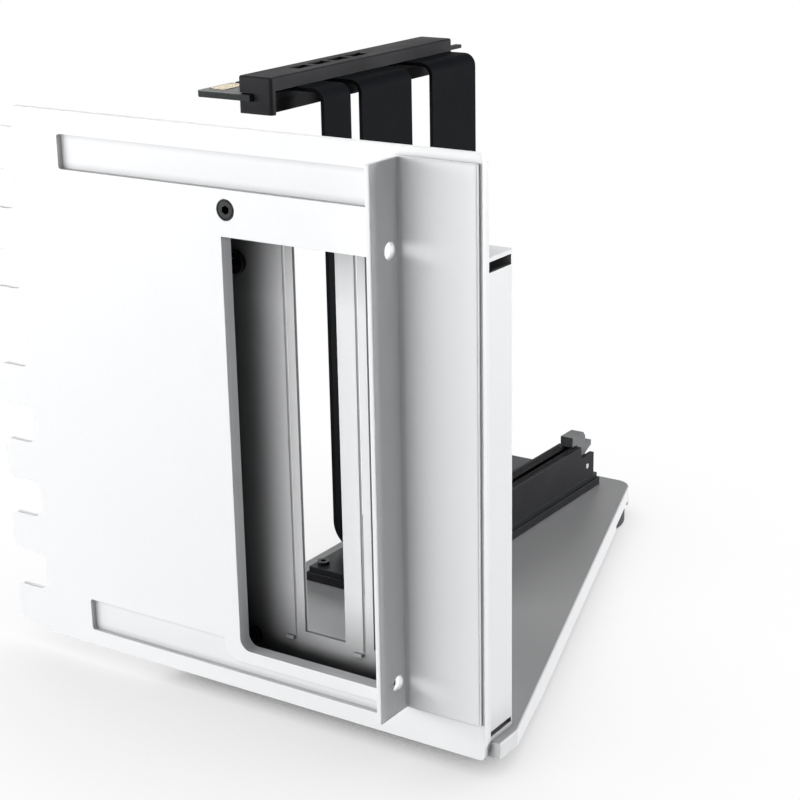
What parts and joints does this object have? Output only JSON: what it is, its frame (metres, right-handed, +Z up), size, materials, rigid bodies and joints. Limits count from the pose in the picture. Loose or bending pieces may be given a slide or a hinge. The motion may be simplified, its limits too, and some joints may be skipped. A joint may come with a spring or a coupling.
{
  "type": "vertical graphics card mount",
  "caption": "White rear plate with tabs, window and screw flange, a slot panel, a tapered tray, and a riser socket joined to its plug by flat ribbons.",
  "frame": {"origin": "midway between the screw flange's two holes, on the flange's left face", "axes": "+X right along the plate seen from behind the computer, +Y into the computer, +Z up"},
  "size_m": [0.1465, 0.1803, 0.1448],
  "materials": {
    "white_coat": "white powder coat, fine satin",
    "inner_coat": "white powder coat, satin",
    "black_screw": "black zinc, satin",
    "pin_steel": "bright steel",
    "gold": "gold flash, polished",
    "black_plastic": "moulded, matt",
    "latch_plastic": "moulded, satin",
    "board": "black solder mask, satin",
    "ribbon": "matt film sleeve",
    "foot_rubber": "matt rubber"
  },
  "bodies": {
    "mount": {"rear_plate": "white_coat", "backing_sheet": "inner_coat", "slot_panel": "inner_coat", "screw_flange": "white_coat", "base_tray": "white_coat", "rear_feet": "foot_rubber", "riser_base": "black_plastic", "riser_board": "board", "socket_housing": "black_plastic", "socket_contacts": "gold", "latch_pin": "pin_steel", "ribbon_1": "ribbon", "ribbon_2": "ribbon", "ribbon_3": "ribbon", "ribbon_clamp": "black_plastic", "plug_cover": "black_plastic", "plug_base": "black_plastic", "plug_board": "board", "plug_fingers": "gold", "plate_screw": "black_screw", "panel_screws": "black_screw", "tray_screws": "black_screw", "riser_screws": "black_screw", "plug_screws": "black_screw"},
    "latch": {"socket_latch": "latch_plastic"}
  },
  "joints": [
    {"name": "latch_tip", "type": "hinge", "parent": "mount", "child": "latch", "pos_m": [-0.0391, 0.1598, -0.05495], "axis": [-1, 0, 0], "range_deg": [0, 30]}
  ]
}
